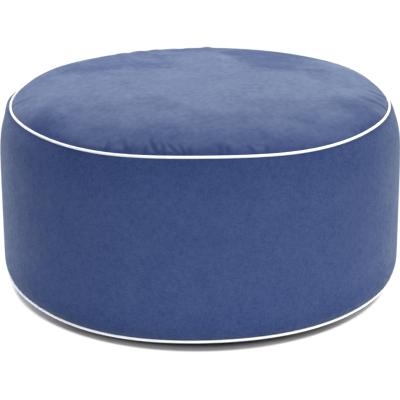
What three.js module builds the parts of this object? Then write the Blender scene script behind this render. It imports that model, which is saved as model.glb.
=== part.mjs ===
// Round inflatable pouf. A sewn fabric cover holds the air: a round top panel, a side band and a
// round base panel, with a white piping in each of the two seams.
// Millimetres, +Z up. The base rests on Z = 0, the drum stands on the Z axis, and its front faces -Y.

import * as THREE from "three";

// Main sizes
const WIDEST = 550; // across the bulge of the band
const TOP_SEAM_WIDTH = 516; // across the middles of the top piping
const BASE_SEAM_WIDTH = 540; // across the middles of the base piping
const TOP_SEAM_HEIGHT = 248; // floor to the middle of the top piping
const BASE_SEAM_HEIGHT = 10; // floor to the middle of the base piping
const BULGE_HEIGHT = 91; // floor to the widest part of the band
const CROWN_RISE = 37; // middle of the top piping to the highest point
const RESTING_WIDTH = 488; // across the part of the base that lies flat
const PIPING_WIDTH = 3.5; // covered cord
const CLOTH = 2; // fabric of the two round panels, with its backing
const CLEARANCE = 0.3; // between neighbouring pieces
const DOME_CLEARANCE = 0.45; // between the dome and the top panel, which have different facets

// How the inflated cover curves
const CROWN_FULLNESS = 3.4; // more is flatter in the middle
const CROWN_EDGE = 0.7; // 0.5 stands upright at the rim, 1 leans in
const TOP_DRAW_IN = 6.5; // more keeps the band full for longer before it turns in to the top seam
const BASE_DRAW_IN = 10.5; // the same, to the base seam
const SEAM_TUCK = 2.1; // the stitch line lies this far inside the middle of the piping
const EDGE_DROP = 0.8; // each fabric edge stops this far above or below the middle of the piping
const BAND_EDGE_DROP = 1.1; // the same for the edges of the band

// Mesh steps
const BODY_STEPS = 96; // round the band, the base and the pipings
const PANEL_STEPS = 192; // round the top panel, which has the puckers
const BAND_STEPS = 14; // up the band
const CROWN_STEPS = 12; // from the middle of the top panel to its rim, outside
const LINING_STEPS = 7; // the same on its inner face and on the dome below it
const TURN_UP_STEPS = 4; // from the flat of the base to its seam
const CORD_STEPS = 8; // round the cord

// The seams rise and fall round the drum: lobes in a turn, height, and the angle of a crest from +X
const TOP_SEAM_WAVES = [
  { lobes: 1, rise: 0.4, crest: 175 },
  { lobes: 2, rise: 0.95, crest: 21 },
  { lobes: 3, rise: 2, crest: 36.5 },
  { lobes: 4, rise: 0.2, crest: -30 },
  { lobes: 5, rise: 0.65, crest: -17.5 },
  { lobes: 6, rise: 0.75, crest: -28.4 },
];
const BASE_SEAM_WAVES = [
  { lobes: 2, rise: 0.5, crest: 3 },
  { lobes: 3, rise: 2, crest: -37 },
  { lobes: 4, rise: 0.4, crest: 29 },
  { lobes: 5, rise: 1.6, crest: -18 },
];

// Shallow hollows in the crown: place of the middle, size across, and depth
const HOLLOWS = [
  { right: 75, back: 120, across: 130, depth: 4 },
  { right: 135, back: 95, across: 140, depth: 4.5 },
  { right: -75, back: 120, across: 130, depth: 2 },
  { right: -120, back: -60, across: 170, depth: 1.2 },
  { right: 140, back: -50, across: 140, depth: 1 },
];

// Where the crown swells over the rim: degrees from the front towards the right, spread, height
const SWELLS = [
  { turn: -66, spread: 26, rise: 3.5 },
  { turn: 66, spread: 24, rise: 2 },
];
const SWELL_INWARD = 25; // a swell is highest this far in from the stitch line

// Deeper puckers at the top seam: degrees from the front towards the right, width, reach, depth.
// A negative depth is a fold that stands up.
const PUCKERS = [
  { turn: -20, width: 24, reach: 34, depth: 1.0 },
  { turn: -13.5, width: 22, reach: 40, depth: 1.6 },
  { turn: -7.5, width: 20, reach: 38, depth: 1.7 },
  { turn: -3.5, width: 18, reach: 28, depth: 1.1 },
  { turn: 13.5, width: 22, reach: 30, depth: 1.1 },
  { turn: 78, width: 26, reach: 46, depth: 1.5 },
  { turn: -82, width: 26, reach: 44, depth: 1.4 },
  { turn: 158, width: 30, reach: 60, depth: 1 },
  { turn: 177.5, width: 26, reach: 60, depth: -1.5 },
  { turn: -171, width: 26, reach: 50, depth: 0.8 },
  { turn: -161.5, width: 26, reach: 60, depth: -1.5 },
];

// Lighter gathers all round the top seam
const GATHERS = 37;
const GATHER_WIDTH = 26;
const GATHER_REACH = 30;
const GATHER_DEPTH = 0.7;
const GATHER_DRIFT = 3; // degrees off even spacing
const PUCKER_LIFT = 1.1; // the fabric between puckers stands this far above the even crown
const PUCKER_SINK = 0.9; // no pucker goes deeper than this below it
const PUCKER_START = 6; // a pucker is at its deepest this far in from the stitch line

const BODY_RADIUS = WIDEST / 2;
const TOP_STITCH_RADIUS = TOP_SEAM_WIDTH / 2 - SEAM_TUCK;
const BASE_STITCH_RADIUS = BASE_SEAM_WIDTH / 2 - SEAM_TUCK;
const RESTING_RADIUS = RESTING_WIDTH / 2;

const FABRIC = { color: 0x3d4d7b, roughness: 0.9, metalness: 0 };
const PIPING = { color: 0xf4f5f3, roughness: 0.8, metalness: 0 };

const degrees = THREE.MathUtils.degToRad;
const smooth = THREE.MathUtils.smoothstep;
const clamp = THREE.MathUtils.clamp;

// Outer face of the top panel, from its middle to its rim
function crownCurve(steps) {
  const rimHeight = TOP_SEAM_HEIGHT + EDGE_DROP;
  const rise = CROWN_RISE - EDGE_DROP;
  const points = [];
  for (let i = 0; i <= steps; i += 1) {
    const share = Math.sin((i / steps) * (Math.PI / 2));
    const left = Math.max(0, 1 - share ** CROWN_FULLNESS);
    points.push(new THREE.Vector2(TOP_STITCH_RADIUS * share, rimHeight + rise * left ** CROWN_EDGE));
  }
  return points;
}

// Outer face of the base panel, from its middle to its rim
function baseCurve(steps) {
  const rimHeight = BASE_SEAM_HEIGHT - EDGE_DROP;
  const points = [new THREE.Vector2(0, 0)];
  for (let i = 0; i <= steps; i += 1) {
    const bend = (i / steps) * (Math.PI / 2);
    const radius = RESTING_RADIUS + (BASE_STITCH_RADIUS - RESTING_RADIUS) * Math.sin(bend);
    points.push(new THREE.Vector2(radius, rimHeight * (1 - Math.cos(bend))));
  }
  return points;
}

// Outer face of the band, from the base seam up to the top seam
function bandCurve(steps) {
  const low = BASE_SEAM_HEIGHT + BAND_EDGE_DROP;
  const high = TOP_SEAM_HEIGHT - BAND_EDGE_DROP;
  const points = [];
  for (let i = 0; i <= steps; i += 1) {
    const climb = -Math.cos((i / steps) * Math.PI);
    const power = climb > 0 ? TOP_DRAW_IN : BASE_DRAW_IN;
    const end = climb > 0 ? high : low;
    const stitch = climb > 0 ? TOP_STITCH_RADIUS : BASE_STITCH_RADIUS;
    const drawIn = (BODY_RADIUS - stitch) * Math.abs(climb) ** power;
    const height = BULGE_HEIGHT + Math.abs(climb) * (end - BULGE_HEIGHT);
    points.push(new THREE.Vector2(BODY_RADIUS - drawIn, height));
  }
  return points;
}

// A curve that starts on the axis, moved square to itself; side is 1 to move up and -1 to move down
function besides(curve, distance, side) {
  const last = curve.length - 1;
  return curve.map((point, i) => {
    if (i === 0) {
      return new THREE.Vector2(0, point.y + side * distance);
    }
    if (i === last) {
      return new THREE.Vector2(point.x - distance, point.y);
    }
    const along = curve[i + 1].clone().sub(curve[i - 1]).normalize();
    return new THREE.Vector2(point.x - side * along.y * distance, point.y + side * along.x * distance);
  });
}

// Degrees from the front of the drum towards its right
function turnOf(x, y) {
  return THREE.MathUtils.radToDeg(Math.atan2(x, -y));
}

// Degrees between two turns, the short way round
function degreesApart(a, b) {
  return Math.abs(THREE.MathUtils.euclideanModulo(a - b + 180, 360) - 180);
}

// Rise of a wavy seam at an angle round the drum
function seamRise(waves, angle) {
  let rise = 0;
  for (const wave of waves) {
    rise += wave.rise * Math.cos(wave.lobes * (angle - degrees(wave.crest)));
  }
  return rise;
}

// How far a point of the even drum moves up in the uneven one
function unevenness(x, y, z) {
  const radius = Math.hypot(x, y);
  const angle = Math.atan2(y, x);
  const upper = smooth(z, BULGE_HEIGHT, TOP_SEAM_HEIGHT);
  const outward = clamp(radius / TOP_STITCH_RADIUS, 0, 1);
  const turnedUp = clamp((radius - RESTING_RADIUS) / (BASE_STITCH_RADIUS - RESTING_RADIUS), 0, 1) ** 3;
  const nearBase = turnedUp * (1 - smooth(z, BASE_SEAM_HEIGHT, BULGE_HEIGHT));
  let move = nearBase * seamRise(BASE_SEAM_WAVES, angle);
  move += outward ** 4 * upper * seamRise(TOP_SEAM_WAVES, angle);
  for (const hollow of HOLLOWS) {
    const apart = Math.hypot(x - hollow.right, y - hollow.back) / (hollow.across / 2);
    const inside = 0.5 + 0.5 * Math.cos(Math.PI * Math.min(1, apart));
    move -= hollow.depth * inside * (1 - outward ** 6) * upper;
  }
  const inward = Math.max(0, TOP_STITCH_RADIUS - radius) / SWELL_INWARD;
  for (const swell of SWELLS) {
    const across = Math.min(1, degreesApart(turnOf(x, y), swell.turn) / swell.spread);
    const rolled = inward * Math.exp(1 - inward);
    move += swell.rise * rolled * upper * (0.5 + 0.5 * Math.cos(Math.PI * across));
  }
  return move;
}

// All puckers of the top seam, the deeper ones and the lighter gathers between them
function allPuckers() {
  const list = PUCKERS.slice();
  for (let i = 0; i < GATHERS; i += 1) {
    const drift = GATHER_DRIFT * Math.sin(2.4 * i) * Math.cos(1.1 * i + 0.6);
    list.push({
      turn: (360 * i) / GATHERS - 180 + drift,
      width: GATHER_WIDTH * (1 + 0.3 * Math.sin(1.7 * i + 1)),
      reach: GATHER_REACH * (1 + 0.4 * Math.sin(2.9 * i)),
      depth: GATHER_DEPTH * (1 + 0.6 * Math.sin(2.2 * i + 2)),
    });
  }
  return list;
}

// How far the puckers near the rim raise the outer face of the top panel at a point
function puckerRise(puckers, x, y) {
  const inward = TOP_STITCH_RADIUS - Math.hypot(x, y);
  const turn = turnOf(x, y);
  const opening = smooth(inward, 0, PUCKER_START);
  let rise = PUCKER_LIFT * opening * (1 - smooth(inward, PUCKER_START, GATHER_REACH));
  for (const pucker of puckers) {
    const apart = degrees(degreesApart(turn, pucker.turn)) * TOP_STITCH_RADIUS;
    const across = Math.min(1, apart / (pucker.width / 2));
    const along = 1 - smooth(inward, PUCKER_START, pucker.reach);
    rise -= pucker.depth * opening * along * (0.5 + 0.5 * Math.cos(Math.PI * across));
  }
  return Math.max(rise, -PUCKER_SINK * opening);
}

// Move each point of a shape up by the drum's unevenness
function madeUneven(shape) {
  const places = shape.attributes.position;
  for (let i = 0; i < places.count; i += 1) {
    const z = places.getZ(i);
    places.setZ(i, z + unevenness(places.getX(i), places.getY(i), z));
  }
  shape.computeVertexNormals();
  return shape;
}

// A turned solid from its section, standing on the Z axis
function turned(section, steps) {
  const shape = new THREE.LatheGeometry(section, steps);
  shape.rotateX(Math.PI / 2);
  return shape;
}

function piece(name, shape, finish) {
  const mesh = new THREE.Mesh(shape, new THREE.MeshStandardMaterial(finish));
  mesh.name = name;
  return mesh;
}

// The band with the air it holds: base, bulged side, a small ledge at each seam and the dome
function filledBand() {
  const inset = CLOTH + CLEARANCE;
  const under = besides(baseCurve(TURN_UP_STEPS), inset, 1);
  const over = besides(crownCurve(LINING_STEPS), CLOTH + DOME_CLEARANCE, -1).reverse();
  const lowLedge = BASE_SEAM_HEIGHT - EDGE_DROP + CLEARANCE;
  const highLedge = TOP_SEAM_HEIGHT + EDGE_DROP - CLEARANCE;
  const section = [
    ...under.slice(0, -1),
    new THREE.Vector2(BASE_STITCH_RADIUS - inset, lowLedge),
    new THREE.Vector2(BASE_STITCH_RADIUS, lowLedge),
    ...bandCurve(BAND_STEPS),
    new THREE.Vector2(TOP_STITCH_RADIUS, highLedge),
    new THREE.Vector2(TOP_STITCH_RADIUS - inset, highLedge),
    ...over.slice(1),
  ];
  return piece("filled_band", madeUneven(turned(section, BODY_STEPS)), FABRIC);
}

// The crowned sheet of the top, puckered on its outer face
function topPanel() {
  const inside = besides(crownCurve(LINING_STEPS), CLOTH, -1);
  const outside = crownCurve(CROWN_STEPS).reverse();
  const section = [...inside, ...outside];
  const shape = madeUneven(turned(section, PANEL_STEPS));
  const puckers = allPuckers();
  const places = shape.attributes.position;
  for (let i = 0; i < places.count; i += 1) {
    if (i % section.length >= inside.length) {
      places.setZ(i, places.getZ(i) + puckerRise(puckers, places.getX(i), places.getY(i)));
    }
  }
  shape.computeVertexNormals();
  return piece("top_panel", shape, FABRIC);
}

// The sheet of the base, flat where it rests
function basePanel() {
  const outside = baseCurve(TURN_UP_STEPS);
  const inside = besides(outside, CLOTH, 1).reverse();
  return piece("base_panel", madeUneven(turned([...outside, ...inside], BODY_STEPS)), FABRIC);
}

// A covered cord sewn into a seam
function piping(name, width, height) {
  const ring = new THREE.TorusGeometry(width / 2, PIPING_WIDTH / 2, CORD_STEPS, BODY_STEPS);
  ring.translate(0, 0, height);
  return piece(name, madeUneven(ring), PIPING);
}

const pouf = new THREE.Group();
pouf.name = "inflatable_pouf";
pouf.add(filledBand());
pouf.add(topPanel());
pouf.add(basePanel());
pouf.add(piping("top_piping", TOP_SEAM_WIDTH, TOP_SEAM_HEIGHT));
pouf.add(piping("base_piping", BASE_SEAM_WIDTH, BASE_SEAM_HEIGHT));

export default pouf;
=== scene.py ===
"""Looks of a round inflatable pouf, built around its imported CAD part.

The cover is made as it is sewn: a crowned top panel, a filled side band, a base panel and a white
piping in each seam. Sizes are metres in the part's own frame, with the front towards -Y.
"""

import math
from collections import namedtuple

import bpy
import numpy as np
from bpy.props import FloatProperty, FloatVectorProperty, IntProperty, PointerProperty
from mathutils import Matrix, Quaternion, Vector, noise


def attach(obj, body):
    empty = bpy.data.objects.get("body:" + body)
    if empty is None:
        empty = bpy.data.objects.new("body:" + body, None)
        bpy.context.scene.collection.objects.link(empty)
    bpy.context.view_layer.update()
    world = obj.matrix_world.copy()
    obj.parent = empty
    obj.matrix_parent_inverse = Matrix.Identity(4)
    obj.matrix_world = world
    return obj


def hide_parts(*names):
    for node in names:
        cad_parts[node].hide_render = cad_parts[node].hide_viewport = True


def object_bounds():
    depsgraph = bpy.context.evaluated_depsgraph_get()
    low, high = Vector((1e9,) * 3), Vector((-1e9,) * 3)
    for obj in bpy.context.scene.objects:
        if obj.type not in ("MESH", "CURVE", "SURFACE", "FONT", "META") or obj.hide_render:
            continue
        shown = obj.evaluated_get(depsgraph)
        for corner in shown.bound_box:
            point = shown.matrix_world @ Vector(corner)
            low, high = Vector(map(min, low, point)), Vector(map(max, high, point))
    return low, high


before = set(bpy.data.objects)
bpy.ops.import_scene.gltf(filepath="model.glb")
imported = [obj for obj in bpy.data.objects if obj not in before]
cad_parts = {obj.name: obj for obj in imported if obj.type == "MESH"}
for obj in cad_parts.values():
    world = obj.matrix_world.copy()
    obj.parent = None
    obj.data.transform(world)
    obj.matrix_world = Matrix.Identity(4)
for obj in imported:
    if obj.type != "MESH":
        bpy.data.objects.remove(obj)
CAD_BOX = [list(corner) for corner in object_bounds()]

bl_info = {
    "name": "Inflatable pouf",
    "version": (1, 0, 0),
    "blender": (4, 5, 0),
    "location": "3D View > Sidebar > Pouf",
    "description": "Builds a round inflatable pouf with piped seams, and a plain studio for it",
    "category": "Add Mesh",
}

BODY = "root"
# Attribute of how far the nap is pressed and painted darker as shade, in creases and along the band's seams
PRESS_AND_SHADE_ATTRIBUTE = "pressed_and_shade"
MILLIMETRE = 0.001

# A point this near to the axis, or to the stitch line, lies on it
ON_AXIS = 1e-6
ON_SEAM = 1e-4

# Gap between the band and the panels, and how many points its hidden sections stop short of the seams
CLEARANCE = 0.0003
SEAM_POINTS = 40

# Mesh steps along the hidden sections and along the base
HIDDEN_STEP = 0.012
BASE_STEP = 0.006

# Mesh steps round the base, the pipings and their cord, and the floor
BASE_STEPS = 192
PIPING_STEPS = 720
CORD_STEPS = 14
FLOOR_STEPS = 128

# Steps round a small ring are halved while they are narrower than this share of the spacing
FEWEST_STEPS = 6
NARROWEST = 0.62

# The seams rise and fall round the drum: lobes in a turn, height, and the angle of a crest from +X
SeamWave = namedtuple("SeamWave", "lobes rise_mm crest_deg")
TOP_SEAM_WAVES = (
    SeamWave(1, 0.4, 175),
    SeamWave(2, 0.95, 21),
    SeamWave(3, 2.0, 36.5),
    SeamWave(4, 0.2, -30),
    SeamWave(5, 0.65, -17.5),
    SeamWave(6, 0.75, -28.4),
)
BASE_SEAM_WAVES = (SeamWave(2, 0.5, 3), SeamWave(3, 2.0, -37), SeamWave(4, 0.4, 29), SeamWave(5, 1.6, -18))

# Shallow hollows in the crown: place of the middle, size across, and depth
Hollow = namedtuple("Hollow", "right_mm back_mm across_mm depth_mm")
HOLLOWS = (
    Hollow(75, 120, 130, 2.5),
    Hollow(135, 95, 140, 2.5),
    Hollow(-75, 120, 130, 2.0),
    Hollow(-120, -60, 170, 1.2),
    Hollow(140, -50, 140, 1.0),
)

# Where the crown swells over the rim: degrees from the front to the right, how far it spreads, and how
# high. A swell is highest SWELL_INWARD from the seam.
Swell = namedtuple("Swell", "turn_deg spread_deg rise_mm")
SWELL_INWARD = 0.025
SWELLS = (Swell(-66, 26, 3.5), Swell(66, 24, 2.0), Swell(112, 26, 2.2), Swell(-118, 26, 1.2))

# Where the shoulder of the band puffs out: degrees from the front to the right, how far it spreads, and
# how far it stands out. A puff is fullest PUFF_BELOW under the top seam.
Puff = namedtuple("Puff", "turn_deg spread_deg out_mm")
PUFF_BELOW = 0.006
PUFFS = (Puff(-104, 30, 8.0), Puff(100, 30, 3.5))

# Creases pressed in at the top seam once the cloth has settled: degrees from the front to the right,
# width, reach inwards, depth, and how far the inner end leans to the right. A negative depth stands up.
Crease = namedtuple("Crease", "turn_deg width_mm reach_mm depth_mm lean_mm")
CREASES = (
    Crease(-27.0, 12, 22, 0.8, -8),
    Crease(-20.9, 9, 21, 2.0, -12),
    Crease(-15.3, 8, 15, 1.2, -4),
    Crease(-12.0, 9, 27, 2.7, -18),
    Crease(-10.0, 7, 21, 1.4, -7),
    Crease(-6.2, 9, 22, 2.6, -20),
    Crease(-4.6, 8, 20, 2.0, -8),
    Crease(-2.5, 8, 14, 1.3, -7),
    Crease(5.5, 10, 22, 0.6, 0),
    Crease(7.7, 8, 15, 1.3, 0),
    Crease(15.0, 9, 15, 1.7, -6),
    Crease(19.0, 10, 18, 0.7, 3),
    Crease(78.0, 16, 46, 0.6, -10),
    Crease(84.0, 14, 40, 0.5, -12),
    Crease(90.0, 14, 44, 0.55, -12),
    Crease(-82.0, 16, 44, 0.4, 10),
    Crease(158.0, 30, 60, 1.0, 0),
    Crease(177.0, 30, 140, -1.9, 0),
    Crease(-172.0, 30, 140, 1.0, 0),
    Crease(-161.0, 26, 140, -1.0, 0),
    Crease(-153.8, 26, 140, -1.3, 0),
    Crease(-146.7, 26, 140, -1.0, 0),
)

# A crease has its full depth CREASE_FADE from the seam, and tapers past a share of its reach. Its nap is
# pressed and painted darker as shade from MARK_FADE on, and wholly so at the marked depth.
CREASE_FADE = 0.004
CREASE_TAPER = 0.1
MARK_FADE = 0.001
MARKED_DEPTH = 0.001

# Soft unevenness of the cloth: size of a ripple, and how far from the seam it is full
RIPPLE_SIZE = 0.045
RIPPLE_START = 0.03

# Where the top panel was sewn in with more cloth than the seam needs: degrees from the front to the
# right, how far it spreads, and the share of the most that is gathered in
Ease = namedtuple("Ease", "turn_deg spread_deg share")
EVEN_EASE = 0.03
EASES = (Ease(-13, 26, 0.9), Ease(13, 12, 0.4), Ease(84, 24, 0.6), Ease(-84, 20, 0.4), Ease(-170, 50, 0.5))

# How the top panel settles: frames, the most that a point moves, how far in the spare cloth reaches, and
# how firmly the air holds the cloth once it is far enough from the seam
SETTLE_FRAMES = 20
SETTLE_MOST = 0.004
SPARE_REACH = 0.033
AIR_HOLD = 0.4
AIR_HOLD_FROM = 0.02
AIR_HOLD_TO = 0.07

# The band is painted darker as shade next to its seams, most at the seams and by less with each stretch
# passed
Easing = namedtuple("Easing", "start end less")
SEAM_SHADE = 0.4
SEAM_SHADE_EASINGS = (Easing(0.001, 0.006, 0.12), Easing(0.0, 0.06, 0.28))

# How far pressed nap and painted shade go towards the darker of the two cloths
PRESS_AND_SHADE_PULL = 0.7

# How strongly the threads and the patches of the nap show
NapShow = namedtuple("NapShow", "threads patches")
BAND_NAP = NapShow(0.85, 0.42)
PANEL_NAP = NapShow(0.25, 0.55)

# Share of the sheen where the cloth is dark and where it is pale; their mix also carries painted shade
DARK_SHEEN = 0.45
PALE_SHEEN = 1.55

# Scales of the noise in the cover: threads across and along them, fuzz, and drifts and patches of nap
THREAD_ACROSS = 620.0
THREAD_ALONG = 110.0
FUZZ = 430.0
DRIFT = 130.0
PATCHES = 26.0

# Radii at which the cloth of the band and of the piping is laid out flat
BAND_RADIUS = 0.275
PIPING_RADIUS = 0.26

# Weave of the piping, in radians for each metre, scales of its fuzz and soil, and shade of the soil
BIAS_WAVES = 5200.0
PIPING_FUZZ = 600.0
PIPING_SOIL = 40.0
PIPING_SHADE = 0.9

# Where the top panel is painted darker, as brushed nap and as painted shade on its rear, front slope and
# rims:
# middle, size across and from front to back, and how much darker it shows. A mark is whole within
# BRUSH_CORE of its half size and gone past BRUSH_EDGE, with a ragged edge.
BRUSH_CORE = 0.35
BRUSH_EDGE = 1.2
BRUSH_RAGGED = 0.9
NapShadeMark = namedtuple("NapShadeMark", "right_mm back_mm across_mm along_mm darker")
NAP_AND_SHADE_MARKS = (
    NapShadeMark(105, 140, 165, 110, 0.4),
    NapShadeMark(112, 72, 160, 110, 0.42),
    NapShadeMark(0, 200, 500, 170, 0.32),
    NapShadeMark(-128, 85, 200, 150, 0.34),
    NapShadeMark(170, 20, 80, 70, 0.15),
    NapShadeMark(-95, -130, 150, 90, 0.15),
    NapShadeMark(110, -135, 150, 90, 0.15),
    NapShadeMark(0, -235, 460, 125, 0.23),
    NapShadeMark(-212, -158, 85, 125, 0.5),
    NapShadeMark(218, -110, 88, 145, 0.36),
)


class PoufSizes(bpy.types.PropertyGroup):
    """Sizes of the sewn cover."""

    widest: FloatProperty(
        name="Widest",
        description="Across the bulge of the band",
        default=CAD_BOX[1][0] - CAD_BOX[0][0],
        unit="LENGTH",
    )
    top_seam_width: FloatProperty(
        name="Top seam width",
        description="Across the middles of the top piping",
        default=0.516,
        unit="LENGTH",
    )
    base_seam_width: FloatProperty(
        name="Base seam width",
        description="Across the middles of the base piping",
        default=0.54,
        unit="LENGTH",
    )
    top_seam_height: FloatProperty(
        name="Top seam", description="Floor to the middle of the top piping", default=0.248, unit="LENGTH"
    )
    base_seam_height: FloatProperty(
        name="Base seam", description="Floor to the middle of the base piping", default=0.01, unit="LENGTH"
    )
    bulge_height: FloatProperty(
        name="Bulge", description="Floor to the widest part of the band", default=0.091, unit="LENGTH"
    )
    crown_rise: FloatProperty(
        name="Crown", description="Top piping to the highest point", default=0.037, unit="LENGTH"
    )
    resting_width: FloatProperty(
        name="Resting width", description="Across the flat of the base", default=0.488, unit="LENGTH"
    )
    piping_width: FloatProperty(
        name="Piping", description="Width of the covered cord", default=0.0035, unit="LENGTH"
    )
    cloth: FloatProperty(
        name="Cloth", description="Fabric of the panels with its backing", default=0.002, unit="LENGTH"
    )
    seam_tuck: FloatProperty(
        name="Seam tuck",
        description="How far the stitch line lies inside the middle of the piping",
        default=0.0021,
        unit="LENGTH",
    )
    edge_drop: FloatProperty(
        name="Edge drop",
        description="Where a panel's edge stops, above or below the middle of the piping",
        default=0.0008,
        unit="LENGTH",
    )
    band_edge_drop: FloatProperty(
        name="Band edge drop", description="The same for the band", default=0.0011, unit="LENGTH"
    )
    crown_fullness: FloatProperty(
        name="Crown fullness", description="More is flatter in the middle", default=3.4
    )
    crown_edge: FloatProperty(
        name="Crown edge", description="0.5 stands upright at the rim, 1 leans in", default=0.7
    )
    top_draw_in: FloatProperty(
        name="Top draw-in",
        description="More keeps the band full for longer below the top seam",
        default=8.0,
    )
    base_draw_in: FloatProperty(
        name="Base draw-in",
        description="More keeps the band full for longer above the base seam",
        default=10.5,
    )
    gathered: FloatProperty(
        name="Gathered", description="Most cloth gathered in at the top seam, as a share", default=0.015
    )
    ripple: FloatProperty(
        name="Ripple",
        description="Height of the soft unevenness of the cloth",
        default=0.0004,
        unit="LENGTH",
    )
    rim_steps: IntProperty(name="Rim steps", description="Mesh steps round the top panel", default=384)
    band_steps: IntProperty(name="Band steps", description="Mesh steps round the band", default=384)


class PoufColours(bpy.types.PropertyGroup):
    """Colours of the cover and its piping."""

    cover: FloatVectorProperty(
        name="Cover", description="Blue of the cover", subtype="COLOR", default=(0.019, 0.039, 0.128)
    )
    nap: FloatVectorProperty(
        name="Nap",
        description="Paler blue where the nap lies over",
        subtype="COLOR",
        default=(0.046, 0.072, 0.174),
    )
    bloom: FloatVectorProperty(
        name="Bloom",
        description="Colour of the nap seen edge on",
        subtype="COLOR",
        default=(0.88, 1.0, 1.0),
    )
    sheen: FloatProperty(name="Sheen", description="Strength of the nap's bloom", default=0.2)
    piping: FloatVectorProperty(
        name="Piping", description="White of the piping", subtype="COLOR", default=(0.88, 0.9, 0.9)
    )


class PoufStudio(bpy.types.PropertyGroup):
    """Camera and lights."""

    distance: FloatProperty(
        name="Distance", description="Camera in front of the drum's axis", default=2.2, unit="LENGTH"
    )
    height: FloatProperty(name="Height", description="Camera above the floor", default=0.879, unit="LENGTH")
    aside: FloatProperty(name="Aside", description="Camera to the right", default=-0.0007, unit="LENGTH")
    dip: FloatProperty(name="Dip", description="Camera below level", default=0.3386, unit="ROTATION")
    roll: FloatProperty(
        name="Roll", description="Camera about its own axis", default=-0.0055, unit="ROTATION"
    )
    lens: FloatProperty(name="Lens", description="Focal length on a 36 mm sensor, in mm", default=150.1)
    white: FloatProperty(name="White", description="Brightness of the backdrop", default=1.02)
    floor_width: FloatProperty(
        name="Floor width", description="Across the round white floor", default=1.1, unit="LENGTH"
    )
    floor_light: FloatProperty(
        name="Floor light", description="Light that comes up from the floor", default=1.02
    )


# Soft boxes, all turned to one point: place, width, watts, and colour
AIM = (0.0, 0.0, 0.2)
SoftBox = namedtuple("SoftBox", "name place width watts colour")
WHITE = (1.0, 1.0, 1.0)
WARM = (1.0, 0.99, 0.95)
COOL = (0.845, 0.885, 1.0)
SOFT_BOXES = (
    SoftBox("soft_box_behind", (0.0, 2.0, 2.6), 2.0, 126, WARM),
    SoftBox("soft_box_behind_left", (-2.0, 2.0, 1.4), 1.5, 63, COOL),
    SoftBox("soft_box_behind_right", (2.0, 2.0, 1.4), 1.5, 22, WHITE),
    SoftBox("soft_box_above_right", (1.4, 1.6, 2.6), 1.6, 27, WHITE),
    SoftBox("soft_box_left_side", (-2.7, 0.0, 1.1), 1.5, 8, COOL),
    SoftBox("soft_box_right_side", (2.7, 0.0, 1.1), 1.5, 29, WHITE),
    SoftBox("soft_box_left", (-2.3, -1.9, 1.5), 1.5, 55.5, COOL),
    SoftBox("soft_box_right", (2.3, -1.9, 1.5), 1.5, 24, WHITE),
    SoftBox("soft_box_right_low", (2.3, -1.9, 0.4), 0.8, 41, WHITE),
    SoftBox("soft_box_front", (0.0, -3.4, 0.5), 1.0, 44, WHITE),
)

# Light from all round that the backdrop gives
FILL_LIGHT = 0.03

# The shadow on the floor is an oval: its half width and depth, and how far its middle lies to the left
SHADOW_HALF_WIDTH = 0.2655
SHADOW_HALF_DEPTH = 0.2815
SHADOW_LEFT = 0.0025

# Shares of the way out from the middle of the oval: where the grey pales, where it turns to light, and
# where the floor's light grows from a share of it, close to the oval, to the whole
SHADOW_PALES = (0.915, 0.985)
SHADOW_ENDS = (0.98, 1.004)
LIGHT_GROWS = (1.0, 1.4)
CLOSE_LIGHT = 0.25

# Greys of the shadow, and distances to the side between which the palest takes over
DARK_GREY = (0.05, 0.046, 0.042)
MIDDLE_GREY = (0.47, 0.452, 0.432)
SIDE_GREY = (0.85, 0.82, 0.78)
SIDE_GREY_FROM = (0.15, 0.24)
SIDE_GREY_SHARE = 0.8


class Socket:
    """One output of a shader node. Sums with it add Math nodes."""

    def __init__(self, finish, output):
        self.finish = finish
        self.output = output

    def __add__(self, other):
        return self.finish.maths("ADD", self, other)

    def __radd__(self, other):
        return self.finish.maths("ADD", other, self)

    def __sub__(self, other):
        return self.finish.maths("SUBTRACT", self, other)

    def __rsub__(self, other):
        return self.finish.maths("SUBTRACT", other, self)

    def __mul__(self, other):
        return self.finish.maths("MULTIPLY", self, other)

    def __rmul__(self, other):
        return self.finish.maths("MULTIPLY", other, self)

    def __truediv__(self, other):
        return self.finish.maths("DIVIDE", self, other)

    def __rtruediv__(self, other):
        return self.finish.maths("DIVIDE", other, self)


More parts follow.
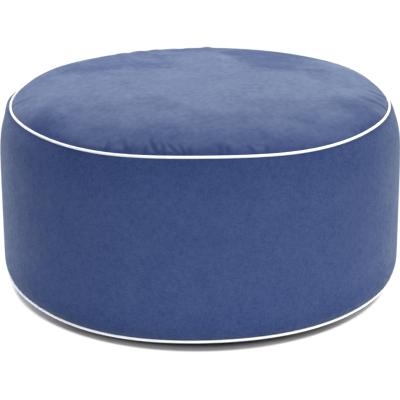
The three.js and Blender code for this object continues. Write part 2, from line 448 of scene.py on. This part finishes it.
class Finish:
    """The nodes of one material or of the world."""

    def __init__(self, owner):
        owner.use_nodes = True
        self.tree = owner.node_tree
        self.tree.nodes.clear()

    def node(self, kind, settings=None, sockets=None, output=0):
        """Add a node, apply its settings, fill its sockets with values or links, and give one output."""
        made = self.tree.nodes.new(kind)
        for key, value in (settings or {}).items():
            setattr(made, key, value)
        for key, value in (sockets or {}).items():
            self.fill(self.pick(made.inputs, key), value)
        if made.outputs:
            return Socket(self, self.pick(made.outputs, output))

    def pick(self, sockets, key):
        if isinstance(key, int):
            return sockets[key]
        return next(socket for socket in sockets if socket.name == key and socket.enabled)

    def fill(self, socket, value):
        if isinstance(value, Socket):
            self.tree.links.new(value.output, socket)
        elif socket.type == "RGBA":
            socket.default_value = (*value, 1.0)
        else:
            socket.default_value = value

    def maths(self, operation, first, second=0.0):
        return self.node("ShaderNodeMath", {"operation": operation}, {0: first, 1: second})

    def mix(self, factor, first, second):
        sockets = {"Factor": factor, "A": first, "B": second}
        return self.node("ShaderNodeMix", {"data_type": "RGBA"}, sockets, "Result")

    def noise(self, place, scale, detail=2.0, roughness=0.5):
        sockets = {"Vector": place, "Scale": scale, "Detail": detail, "Roughness": roughness}
        return self.node("ShaderNodeTexNoise", None, sockets) - 0.5

    def place(self):
        return self.node("ShaderNodeTexCoord", None, None, "Object")

    def apart(self, vector):
        return [self.node("ShaderNodeSeparateXYZ", None, {0: vector}, axis) for axis in range(3)]

    def passing(self, value, stretch, top=1.0, soft=True):
        """Rise from 0 to the top value as a value passes along a stretch."""
        settings = {"interpolation_type": "SMOOTHSTEP" if soft else "LINEAR"}
        sockets = {"Value": value, "From Min": stretch[0], "From Max": stretch[1], "To Max": top}
        return self.node("ShaderNodeMapRange", settings, sockets)

    def stretched(self, vector, scale):
        return self.node("ShaderNodeMapping", None, {"Vector": vector, "Scale": scale})

    def blend(self, factor, first, second):
        return self.node("ShaderNodeMixShader", None, {0: factor, 1: first, 2: second})

    def show(self, shader, kind="ShaderNodeOutputMaterial"):
        self.node(kind, None, {"Surface": shader})


def top_stitch(sizes):
    return sizes.top_seam_width / 2 - sizes.seam_tuck


def base_stitch(sizes):
    return sizes.base_seam_width / 2 - sizes.seam_tuck


def crown_section(sizes, steps=800):
    """Outer face of the top panel, from its rim to its middle, as radius and height."""
    share = np.sin(np.linspace(math.pi / 2, 0, steps))
    rise = np.clip(1 - share**sizes.crown_fullness, 0, None) ** sizes.crown_edge
    height = sizes.top_seam_height + sizes.edge_drop + (sizes.crown_rise - sizes.edge_drop) * rise
    return np.column_stack([top_stitch(sizes) * share, height])


def base_section(sizes, steps=400):
    """Outer face of the base panel, from its middle to its rim."""
    rest = sizes.resting_width / 2
    bend = np.linspace(0, math.pi / 2, steps)
    radius = rest + (base_stitch(sizes) - rest) * np.sin(bend)
    height = (sizes.base_seam_height - sizes.edge_drop) * (1 - np.cos(bend))
    flat = np.column_stack([np.linspace(0, rest, steps, endpoint=False), np.zeros(steps)])
    return np.vstack([flat, np.column_stack([radius, height])])


def band_section(sizes, steps=1200):
    """Outer face of the band, from the base seam to the top seam."""
    climb = -np.cos(np.linspace(0, math.pi, steps))
    power = np.where(climb > 0, sizes.top_draw_in, sizes.base_draw_in)
    top_edge = sizes.top_seam_height - sizes.band_edge_drop
    base_edge = sizes.base_seam_height + sizes.band_edge_drop
    end = np.where(climb > 0, top_edge, base_edge)
    stitch = np.where(climb > 0, top_stitch(sizes), base_stitch(sizes))
    half = sizes.widest / 2
    radius = half - (half - stitch) * np.abs(climb) ** power
    return np.column_stack([radius, sizes.bulge_height + np.abs(climb) * (end - sizes.bulge_height)])


def lengths_along(section):
    steps = np.hypot(*np.diff(section, axis=0).T)
    return np.concatenate([[0.0], np.cumsum(steps)])


def evenly(section, spacing):
    """The same section with points at an even spacing."""
    along = lengths_along(section)
    count = max(2, round(along[-1] / spacing) + 1)
    wanted = np.linspace(0, along[-1], count)
    return np.column_stack([np.interp(wanted, along, section[:, i]) for i in (0, 1)])


def inset(section, distance):
    """The section moved square to itself, to the left of its own direction."""
    along = np.gradient(section, axis=0)
    along /= np.linalg.norm(along, axis=1)[:, None]
    moved = section + distance * np.column_stack([-along[:, 1], along[:, 0]])
    moved[:, 0] = np.clip(moved[:, 0], 0, None)
    return moved


def smooth(value, low, high):
    share = np.clip((value - low) / (high - low), 0, 1)
    return share * share * (3 - 2 * share)


def hump(share):
    """1 at a share of 0, falling softly to 0 at a share of 1."""
    return 0.5 + 0.5 * np.cos(math.pi * np.minimum(1, np.abs(share)))


def turn_of(points):
    """Angle of each point from the front towards the right."""
    return np.arctan2(points[:, 0], -points[:, 1])


def turn_apart(turn, degrees):
    """How far each turn is from an angle in degrees, the short way round."""
    return (turn - math.radians(degrees) + math.pi) % (2 * math.pi) - math.pi


def seam_rise(waves, angle):
    rise = np.zeros_like(angle)
    for wave in waves:
        rise += wave.rise_mm * MILLIMETRE * np.cos(wave.lobes * (angle - math.radians(wave.crest_deg)))
    return rise


def unevenness(sizes, points):
    """How far each point of the even drum moves up in the uneven one."""
    x, y, z = points.T
    radius = np.hypot(x, y)
    angle = np.arctan2(y, x)
    rest = sizes.resting_width / 2
    upper = smooth(z, sizes.bulge_height, sizes.top_seam_height)
    outward = np.clip(radius / top_stitch(sizes), 0, 1)
    turned_up = np.clip((radius - rest) / (base_stitch(sizes) - rest), 0, 1) ** 3
    near_base = turned_up * (1 - smooth(z, sizes.base_seam_height, sizes.bulge_height))
    move = near_base * seam_rise(BASE_SEAM_WAVES, angle)
    move += outward**4 * upper * seam_rise(TOP_SEAM_WAVES, angle)
    for hollow in HOLLOWS:
        apart = np.hypot(x - hollow.right_mm * MILLIMETRE, y - hollow.back_mm * MILLIMETRE)
        inside = hump(apart / (hollow.across_mm * MILLIMETRE / 2))
        move -= hollow.depth_mm * MILLIMETRE * inside * (1 - outward**6) * upper
    inward = np.clip(top_stitch(sizes) - radius, 0, None) / SWELL_INWARD
    for swell in SWELLS:
        across = hump(turn_apart(turn_of(points), swell.turn_deg) / math.radians(swell.spread_deg))
        move += swell.rise_mm * MILLIMETRE * across * inward * np.exp(1 - inward) * upper
    return move


def puffed(sizes, even_points):
    """The points of the even band with its shoulder puffed out."""
    points = even_points.copy()
    below = np.clip(sizes.top_seam_height - sizes.band_edge_drop - points[:, 2], 0, None) / PUFF_BELOW
    radius = np.hypot(points[:, 0], points[:, 1])
    out = np.zeros(len(points))
    for puff in PUFFS:
        across = hump(turn_apart(turn_of(points), puff.turn_deg) / math.radians(puff.spread_deg))
        out += puff.out_mm * MILLIMETRE * across * below**2 * np.exp(2 - 2 * below)
    outside = radius > top_stitch(sizes) - ON_SEAM
    points[outside, :2] *= (1 + out[outside] / radius[outside])[:, None]
    return points


def crease_depth(sizes, points, rim_fade):
    """How far the creases sink the top panel at each point. They fade to nothing at the stitches."""
    stitch = top_stitch(sizes)
    inward = stitch - np.hypot(points[:, 0], points[:, 1])
    turn = turn_of(points)
    depth = np.zeros(len(points))
    for crease in CREASES:
        along = np.clip(inward / (crease.reach_mm * MILLIMETRE), 0, 1)
        lean = crease.lean_mm * MILLIMETRE * along / stitch
        apart = turn_apart(turn - lean, crease.turn_deg) * stitch
        fade = smooth(inward, 0, rim_fade) * (1 - smooth(along, CREASE_TAPER, 1))
        depth += crease.depth_mm * MILLIMETRE * fade * hump(apart / (crease.width_mm * MILLIMETRE / 2))
    return depth


def ripples(points, size):
    """Soft unevenness of the cloth at each point, between about -1 and 1."""
    return np.array([noise.noise(Vector(point) / size) for point in points])


def ring_counts(section, most, spacing):
    """Steps round each ring: fewer, by halves, where a ring is small."""
    counts = []
    for radius, _ in section:
        count = most
        while count > FEWEST_STEPS and 2 * math.pi * radius / count < NARROWEST * spacing:
            count //= 2
        counts.append(1 if radius < ON_AXIS else count)
    return counts


def ring_faces(first, following):
    """Faces between two rings of points, where one may have half the steps of the other."""
    a, b = len(first), len(following)
    if a == 1:
        return [(first[0], following[(i + 1) % b], following[i]) for i in range(b)]
    if b == 1:
        return [(first[i], first[(i + 1) % a], following[0]) for i in range(a)]
    if a == b:
        return [(first[i], first[(i + 1) % a], following[(i + 1) % b], following[i]) for i in range(a)]
    faces = []
    if a == 2 * b:
        for i in range(b):
            near, far, end = first[2 * i], first[2 * i + 1], first[(2 * i + 2) % a]
            left, right = following[i], following[(i + 1) % b]
            faces += [(near, far, left), (far, end, right), (far, right, left)]
    elif b == 2 * a:
        for i in range(a):
            near, far, end = following[2 * i], following[2 * i + 1], following[(2 * i + 2) % b]
            left, right = first[i], first[(i + 1) % a]
            faces += [(left, far, near), (right, end, far), (left, right, far)]
    else:
        raise ValueError(f"rings of {a} and {b} steps don't join")
    return faces


def ring_points(section, counts):
    """Points of each ring of a section turned about the Z axis."""
    rings = []
    for (radius, height), count in zip(section, counts):
        angle = 2 * math.pi * np.arange(count) / count
        level = np.full(count, height)
        rings.append(np.column_stack([radius * np.cos(angle), radius * np.sin(angle), level]))
    return rings


def ring_mesh(rings):
    """All points of the rings, and the faces between them."""
    ends = np.cumsum([len(ring) for ring in rings])
    numbers = [range(end - len(ring), end) for ring, end in zip(rings, ends)]
    faces = []
    for first, following in zip(numbers, numbers[1:]):
        faces += ring_faces(first, following)
    return np.vstack(rings), faces


def new_piece(name, points, faces):
    mesh = bpy.data.meshes.new(name)
    mesh.from_pydata(points.tolist(), [], faces)
    mesh.update()
    piece = bpy.data.objects.new(name, mesh)
    bpy.context.scene.collection.objects.link(piece)
    return piece


def places_of(vertices):
    """Places of a mesh's vertices."""
    flat = np.empty(3 * len(vertices))
    vertices.foreach_get("co", flat)
    return flat.reshape(-1, 3)


def apply_modifiers(piece):
    """Keep the piece's evaluated mesh and drop its modifiers."""
    graph = bpy.context.evaluated_depsgraph_get()
    mesh = bpy.data.meshes.new_from_object(piece.evaluated_get(graph))
    old = piece.data
    piece.modifiers.clear()
    piece.data = mesh
    bpy.data.meshes.remove(old)
    mesh.name = piece.name


def subdivide(piece):
    modifier = piece.modifiers.new("Subdivision", "SUBSURF")
    modifier.levels = modifier.render_levels = 1
    apply_modifiers(piece)


def mark_pressed_and_shade(piece, pressed_and_shade):
    """Keep on the piece, at each point, how far its nap is pressed and painted darker as shade, from 0 to
    1.
    """
    mark = piece.data.attributes.new(PRESS_AND_SHADE_ATTRIBUTE, "FLOAT", "POINT")
    mark.data.foreach_set("value", np.clip(pressed_and_shade, 0, 1))


def finish_piece(piece, node, material):
    piece.data.materials.clear()
    piece.data.materials.append(material)
    piece.data.polygons.foreach_set("use_smooth", np.ones(len(piece.data.polygons), bool))
    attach(piece, BODY)
    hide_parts(node)


def nap_and_shade_marks(finish, place, ragged):
    """Soft patches, ragged at their edges, painted darker: partly brushed nap, partly painted shade."""
    x, y, _ = finish.apart(place)
    total = 0.0
    for mark in NAP_AND_SHADE_MARKS:
        across = (x - mark.right_mm * MILLIMETRE) / (mark.across_mm * MILLIMETRE / 2)
        along = (y - mark.back_mm * MILLIMETRE) / (mark.along_mm * MILLIMETRE / 2)
        apart = finish.maths("SQRT", across * across + along * along) + ragged * BRUSH_RAGGED
        total = finish.passing(apart, (BRUSH_EDGE, BRUSH_CORE), mark.darker) + total
    return total


def cover_finish(name, colours, wrapped):
    """Matt blue cloth with a short nap. Wrapped cloth runs round the drum, flat cloth lies across it."""
    material = bpy.data.materials.new(name)
    finish = Finish(material)
    place = finish.place()
    cloth = place
    if wrapped:
        x, y, z = finish.apart(place)
        around = finish.maths("ARCTAN2", x, 0 - y) * BAND_RADIUS
        cloth = finish.node("ShaderNodeCombineXYZ", None, {0: around, 1: z})
    weft = finish.noise(finish.stretched(cloth, (THREAD_ALONG, THREAD_ACROSS, 1)), 1.0, detail=1.0)
    warp = finish.noise(finish.stretched(cloth, (THREAD_ACROSS, THREAD_ALONG, 1)), 1.0, detail=1.0)
    fuzz = finish.noise(place, FUZZ, detail=1.0, roughness=0.6)
    drift = finish.noise(place, DRIFT)
    patches = finish.noise(place, PATCHES, detail=3.0, roughness=0.55)
    shown = BAND_NAP if wrapped else PANEL_NAP
    threads = fuzz + weft * 0.7 + warp * 0.6
    lie_and_shade = 0.5 + threads * shown.threads + (drift * 1.3 + patches) * shown.patches
    # Painted shade in creases and along the band's seams, partly pressed nap, darkens the cloth
    pressed_and_shade = finish.node("ShaderNodeAttribute", {"attribute_name": PRESS_AND_SHADE_ATTRIBUTE}, None, "Fac")
    lie_and_shade = lie_and_shade - pressed_and_shade * PRESS_AND_SHADE_PULL
    if not wrapped:
        # Brushed nap and painted shade on the top panel's rear, front slope and rims
        lie_and_shade = lie_and_shade - nap_and_shade_marks(finish, place, patches)
    height = fuzz * 0.6 + weft * 0.3 + warp * 0.3
    bump = finish.node("ShaderNodeBump", None, {"Strength": 0.35, "Distance": 0.0006, "Height": height})
    # The darker and paler cloth, mixed by the nap's lie and by its painted shade
    naps = []
    for colour, sheen in ((colours.cover, DARK_SHEEN), (colours.nap, PALE_SHEEN)):
        sockets = {
            "Base Color": colour,
            "Roughness": 0.86 + fuzz * 0.12,
            "Specular IOR Level": 0.1,
            "Sheen Weight": sheen * colours.sheen,
            "Sheen Roughness": 0.5,
            "Sheen Tint": colours.bloom,
            "Normal": bump,
        }
        naps.append(finish.node("ShaderNodeBsdfPrincipled", None, sockets))
    finish.show(finish.blend(lie_and_shade, *naps))
    return material


def piping_finish(colours):
    """White cloth cut on the bias and folded round a cord."""
    material = bpy.data.materials.new("white_piping_cloth")
    finish = Finish(material)
    place = finish.place()
    x, y, z = finish.apart(place)
    around = finish.maths("ARCTAN2", x, 0 - y) * PIPING_RADIUS
    bias = finish.maths("SINE", (around + z) * BIAS_WAVES)
    cross = finish.maths("SINE", (around - z) * BIAS_WAVES)
    fuzz = finish.noise(place, PIPING_FUZZ, roughness=0.6)
    soil = finish.noise(place, PIPING_SOIL)
    shade = 0.5 + soil * 0.6 + fuzz * 0.5
    grey = [PIPING_SHADE * part for part in colours.piping]
    height = bias * 0.3 + cross * 0.3 + fuzz * 0.5
    bump = finish.node("ShaderNodeBump", None, {"Strength": 0.4, "Distance": 0.0004, "Height": height})
    shader = finish.node(
        "ShaderNodeBsdfPrincipled",
        None,
        {
            "Base Color": finish.mix(shade, grey, colours.piping),
            "Roughness": 0.8 + fuzz * 0.1,
            "Specular IOR Level": 0.25,
            "Sheen Weight": 0.15,
            "Normal": bump,
        },
    )
    finish.show(shader)
    return material


class POUF_OT_studio(bpy.types.Operator):
    """Set up the camera, a plain white floor and soft light"""

    bl_idname = "pouf.studio"
    bl_label = "Studio"

    def execute(self, context):
        studio = context.scene.pouf_studio
        self.add_camera(context.scene, studio)
        self.add_floor(studio)
        self.add_backdrop(context.scene, studio)
        for box in SOFT_BOXES:
            self.add_soft_box(context.scene, box)
        context.scene.view_settings.view_transform = "Standard"
        return {"FINISHED"}

    def add_camera(self, scene, studio):
        data = bpy.data.cameras.new("camera")
        data.sensor_width = 36.0
        data.lens = studio.lens
        camera = bpy.data.objects.new("camera", data)
        camera.location = (studio.aside, -studio.distance, studio.height)
        camera.rotation_mode = "QUATERNION"
        tilt = Quaternion((1, 0, 0), math.pi / 2 - studio.dip)
        camera.rotation_quaternion = tilt @ Quaternion((0, 0, 1), studio.roll)
        scene.collection.objects.link(camera)
        scene.camera = camera

    def add_floor(self, studio):
        edge = ring_points([(studio.floor_width / 2, 0.0)], [FLOOR_STEPS])[0]
        floor = new_piece("studio_floor", edge, [tuple(range(FLOOR_STEPS))])
        material = bpy.data.materials.new("studio_floor_white")
        finish = Finish(material)
        x, y, _ = finish.apart(finish.place())
        across = (x + SHADOW_LEFT) / SHADOW_HALF_WIDTH
        along = y / SHADOW_HALF_DEPTH
        outward = finish.maths("SQRT", across * across + along * along)
        grey = finish.mix(finish.passing(outward, SHADOW_PALES, soft=False), DARK_GREY, MIDDLE_GREY)
        aside = finish.passing(finish.maths("ABSOLUTE", x), SIDE_GREY_FROM, SIDE_GREY_SHARE)
        shaded = finish.node("ShaderNodeBsdfDiffuse", None, {"Color": finish.mix(aside, grey, SIDE_GREY)})
        seen = finish.node("ShaderNodeLightPath", None, None, "Is Camera Ray")
        away = finish.passing(outward, LIGHT_GROWS, soft=False)
        dim = finish.node("ShaderNodeEmission", None, {"Strength": CLOSE_LIGHT * studio.floor_light})
        bright = finish.node("ShaderNodeEmission", None, {"Strength": studio.floor_light})
        glow = finish.blend(finish.maths("MAXIMUM", seen, away), dim, bright)
        finish.show(finish.blend(finish.passing(outward, SHADOW_ENDS), shaded, glow))
        floor.data.materials.append(material)

    def add_backdrop(self, scene, studio):
        scene.world = bpy.data.worlds.new("studio_white")
        finish = Finish(scene.world)
        seen = finish.node("ShaderNodeLightPath", None, None, "Is Camera Ray")
        dark = finish.node("ShaderNodeBackground", None, {"Strength": FILL_LIGHT})
        white = finish.node("ShaderNodeBackground", None, {"Color": WHITE, "Strength": studio.white})
        finish.show(finish.blend(seen, dark, white), "ShaderNodeOutputWorld")

    def add_soft_box(self, scene, box):
        data = bpy.data.lights.new(box.name, "AREA")
        data.shape = "SQUARE"
        data.size = box.width
        data.energy = box.watts
        data.color = box.colour
        lamp = bpy.data.objects.new(box.name, data)
        lamp.location = box.place
        lamp.rotation_mode = "QUATERNION"
        lamp.rotation_quaternion = (Vector(AIM) - lamp.location).to_track_quat("-Z", "Y")
        scene.collection.objects.link(lamp)


class POUF_OT_filled_band(bpy.types.Operator):
    """Make the side band with the air it holds"""

    bl_idname = "pouf.filled_band"
    bl_label = "Filled band"

    def execute(self, context):
        sizes = context.scene.pouf_sizes
        spacing = 2 * math.pi * top_stitch(sizes) / sizes.band_steps
        skin = sizes.cloth + CLEARANCE
        floor_side = evenly(inset(base_section(sizes), skin)[:-SEAM_POINTS], HIDDEN_STEP)
        side = evenly(band_section(sizes), spacing)
        dome = evenly(inset(crown_section(sizes), skin)[SEAM_POINTS:], HIDDEN_STEP)
        section = np.vstack([floor_side, side, dome])
        section[0, 0] = section[-1, 0] = 0.0
        points, faces = ring_mesh(ring_points(section, ring_counts(section, sizes.band_steps, spacing)))
        to_seam = np.minimum(sizes.top_seam_height - points[:, 2], points[:, 2] - sizes.base_seam_height)
        rise = unevenness(sizes, points)
        points = puffed(sizes, points)
        points[:, 2] += rise
        piece = new_piece("side_band", points, faces)
        # Painted shade along the band's seams
        less = sum(each.less * smooth(to_seam, each.start, each.end) for each in SEAM_SHADE_EASINGS)
        mark_pressed_and_shade(piece, SEAM_SHADE - less)
        material = cover_finish("blue_band_cloth", context.scene.pouf_colours, True)
        finish_piece(piece, "filled_band", material)
        return {"FINISHED"}


class POUF_OT_panels(bpy.types.Operator):
    """Make the crowned top panel and the flat base panel"""

    bl_idname = "pouf.panels"
    bl_label = "Panels"

    def execute(self, context):
        sizes = context.scene.pouf_sizes
        material = cover_finish("blue_panel_cloth", context.scene.pouf_colours, False)
        top = self.top_panel(context, sizes)
        finish_piece(top, "top_panel", material)
        base = self.base_panel(sizes)
        finish_piece(base, "base_panel", material)
        return {"FINISHED"}

    def top_panel(self, context, sizes):
        spacing = 2 * math.pi * top_stitch(sizes) / sizes.rim_steps
        section = evenly(crown_section(sizes), spacing)
        section[-1, 0] = 0.0
        counts = ring_counts(section, sizes.rim_steps, spacing)
        points, faces = ring_mesh(ring_points(section, counts))
        points[:, 2] += unevenness(sizes, points)
        piece = new_piece("crowned_top", points, faces)
        self.settle(context, sizes, piece)
        subdivide(piece)
        self.press_creases(sizes, piece)
        self.close(sizes, piece)
        return piece

    def settle(self, context, sizes, piece):
        """Let the gathered cloth settle between the sewn rim and the air below, and keep the folds."""
        start = places_of(piece.data.vertices)
        inward = top_stitch(sizes) - np.hypot(start[:, 0], start[:, 1])
        held = np.where(inward < ON_SEAM, 1.0, AIR_HOLD * smooth(inward, AIR_HOLD_FROM, AIR_HOLD_TO))
        ease = np.full(len(start), EVEN_EASE)
        for each in EASES:
            apart = turn_apart(turn_of(start), each.turn_deg)
            ease += each.share * hump(apart / math.radians(each.spread_deg))
        ease = np.clip(ease, 0, 1) * (1 - smooth(inward, 0, SPARE_REACH))
        self.weigh(piece, "held", held)
        self.weigh(piece, "cut_to_size", 1 - ease)
        cloth = piece.modifiers.new("Cloth", "CLOTH")
        cloth.settings.vertex_group_mass = "held"
        cloth.settings.vertex_group_shrink = "cut_to_size"
        cloth.settings.shrink_min = -sizes.gathered
        cloth.settings.shrink_max = 0.0
        cloth.settings.quality = 8
        cloth.settings.mass = 0.05
        cloth.settings.tension_stiffness = 40
        cloth.settings.compression_stiffness = 40
        cloth.settings.shear_stiffness = 10
        cloth.settings.bending_stiffness = 0.015
        cloth.settings.pin_stiffness = 1.0
        cloth.settings.effector_weights.gravity = 0
        cloth.settings.use_pressure = True
        cloth.settings.uniform_pressure_force = 2.0
        cloth.point_cache.frame_end = SETTLE_FRAMES
        for number in range(1, SETTLE_FRAMES + 1):
            context.scene.frame_set(number)
        apply_modifiers(piece)
        context.scene.frame_set(1)
        moved = places_of(piece.data.vertices) - start
        length = np.linalg.norm(moved, axis=1)
        moved *= (SETTLE_MOST / np.maximum(length, SETTLE_MOST))[:, None]
        piece.data.vertices.foreach_set("co", (start + moved).ravel())

    def weigh(self, piece, name, weights):
        group = piece.vertex_groups.new(name=name)
        for number, weight in enumerate(weights):
            group.add([number], float(weight), "REPLACE")

    def press_creases(self, sizes, piece):
        places = places_of(piece.data.vertices)
        inward = top_stitch(sizes) - np.hypot(places[:, 0], places[:, 1])
        places[:, 2] += sizes.ripple * smooth(inward, 0, RIPPLE_START) * ripples(places, RIPPLE_SIZE)
        places[:, 2] -= crease_depth(sizes, places, CREASE_FADE)
        piece.data.vertices.foreach_set("co", places.ravel())

    def close(self, sizes, piece):
        """Give the sheet its thickness, with a plainer inner face."""
        places = places_of(piece.data.vertices)
        faces = [tuple(face.vertices) for face in piece.data.polygons]
        radius = np.hypot(places[:, 0], places[:, 1])
        rim = np.flatnonzero(radius > top_stitch(sizes) - ON_SEAM)
        rim = rim[np.argsort(np.arctan2(places[rim, 1], places[rim, 0]) % (2 * math.pi))]
        inside = evenly(inset(crown_section(sizes), sizes.cloth), HIDDEN_STEP)
        inside[-1, 0] = 0.0
        spacing = 2 * math.pi * top_stitch(sizes) / len(rim)
        rings = ring_points(inside, ring_counts(inside, len(rim), spacing))
        points = [places]
        numbers = [[int(number) for number in rim]]
        start = len(places)
        for ring in rings:
            ring[:, 2] += unevenness(sizes, ring)
            points.append(ring)
            numbers.append(range(start, start + len(ring)))
            start += len(ring)
        for first, following in zip(numbers, numbers[1:]):
            faces += [face[::-1] for face in ring_faces(first, following)]
        points = np.vstack(points)
        mesh = bpy.data.meshes.new(piece.name)
        mesh.from_pydata(points.tolist(), [], faces)
        old = piece.data
        piece.data = mesh
        bpy.data.meshes.remove(old)
        # Painted shade in the creases, partly pressed nap
        mark_pressed_and_shade(piece, crease_depth(sizes, points, MARK_FADE) / MARKED_DEPTH)

    def base_panel(self, sizes):
        spacing = 2 * math.pi * base_stitch(sizes) / BASE_STEPS
        outside = evenly(base_section(sizes), BASE_STEP)
        inside = evenly(inset(base_section(sizes), sizes.cloth)[::-1], HIDDEN_STEP)
        section = np.vstack([outside, inside])
        section[0, 0] = section[-1, 0] = 0.0
        points, faces = ring_mesh(ring_points(section, ring_counts(section, BASE_STEPS, spacing)))
        points[:, 2] += unevenness(sizes, points)
        return new_piece("base_cloth", points, faces)


class POUF_OT_pipings(bpy.types.Operator):
    """Make the covered cords in the two seams"""

    bl_idname = "pouf.pipings"
    bl_label = "Pipings"

    def execute(self, context):
        sizes = context.scene.pouf_sizes
        material = piping_finish(context.scene.pouf_colours)
        top = self.ring(sizes, "top_seam_piping", sizes.top_seam_width, sizes.top_seam_height)
        finish_piece(top, "top_piping", material)
        base = self.ring(sizes, "base_seam_piping", sizes.base_seam_width, sizes.base_seam_height)
        finish_piece(base, "base_piping", material)
        return {"FINISHED"}

    def ring(self, sizes, name, width, height):
        bend = 2 * math.pi * np.arange(CORD_STEPS) / CORD_STEPS
        across = width / 2 + sizes.piping_width / 2 * np.cos(bend)
        section = np.column_stack([across, height + sizes.piping_width / 2 * np.sin(bend)])
        points, faces = ring_mesh(ring_points(section, [PIPING_STEPS] * CORD_STEPS))
        last = range(len(points) - PIPING_STEPS, len(points))
        faces += ring_faces(last, range(PIPING_STEPS))
        points[:, 2] += unevenness(sizes, points)
        return new_piece(name, points, faces)


class POUF_PT_sidebar(bpy.types.Panel):
    """Sizes, colours and steps of the pouf"""

    bl_idname = "POUF_PT_sidebar"
    bl_label = "Pouf"
    bl_space_type = "VIEW_3D"
    bl_region_type = "UI"
    bl_category = "Pouf"

    def draw(self, context):
        layout = self.layout
        for step in STEPS:
            layout.operator(step.bl_idname)
        for group in (context.scene.pouf_sizes, context.scene.pouf_colours, context.scene.pouf_studio):
            for key in group.__annotations__:
                layout.prop(group, key)


STEPS = (POUF_OT_studio, POUF_OT_filled_band, POUF_OT_panels, POUF_OT_pipings)
CLASSES = (PoufSizes, PoufColours, PoufStudio, *STEPS, POUF_PT_sidebar)


def register():
    for each in CLASSES:
        bpy.utils.register_class(each)
    bpy.types.Scene.pouf_sizes = PointerProperty(type=PoufSizes)
    bpy.types.Scene.pouf_colours = PointerProperty(type=PoufColours)
    bpy.types.Scene.pouf_studio = PointerProperty(type=PoufStudio)


def unregister():
    del bpy.types.Scene.pouf_studio
    del bpy.types.Scene.pouf_colours
    del bpy.types.Scene.pouf_sizes
    for each in reversed(CLASSES):
        bpy.utils.unregister_class(each)


def main():
    register()
    bpy.ops.pouf.studio()
    bpy.ops.pouf.filled_band()
    bpy.ops.pouf.panels()
    bpy.ops.pouf.pipings()


if __name__ == "__main__":
    main()
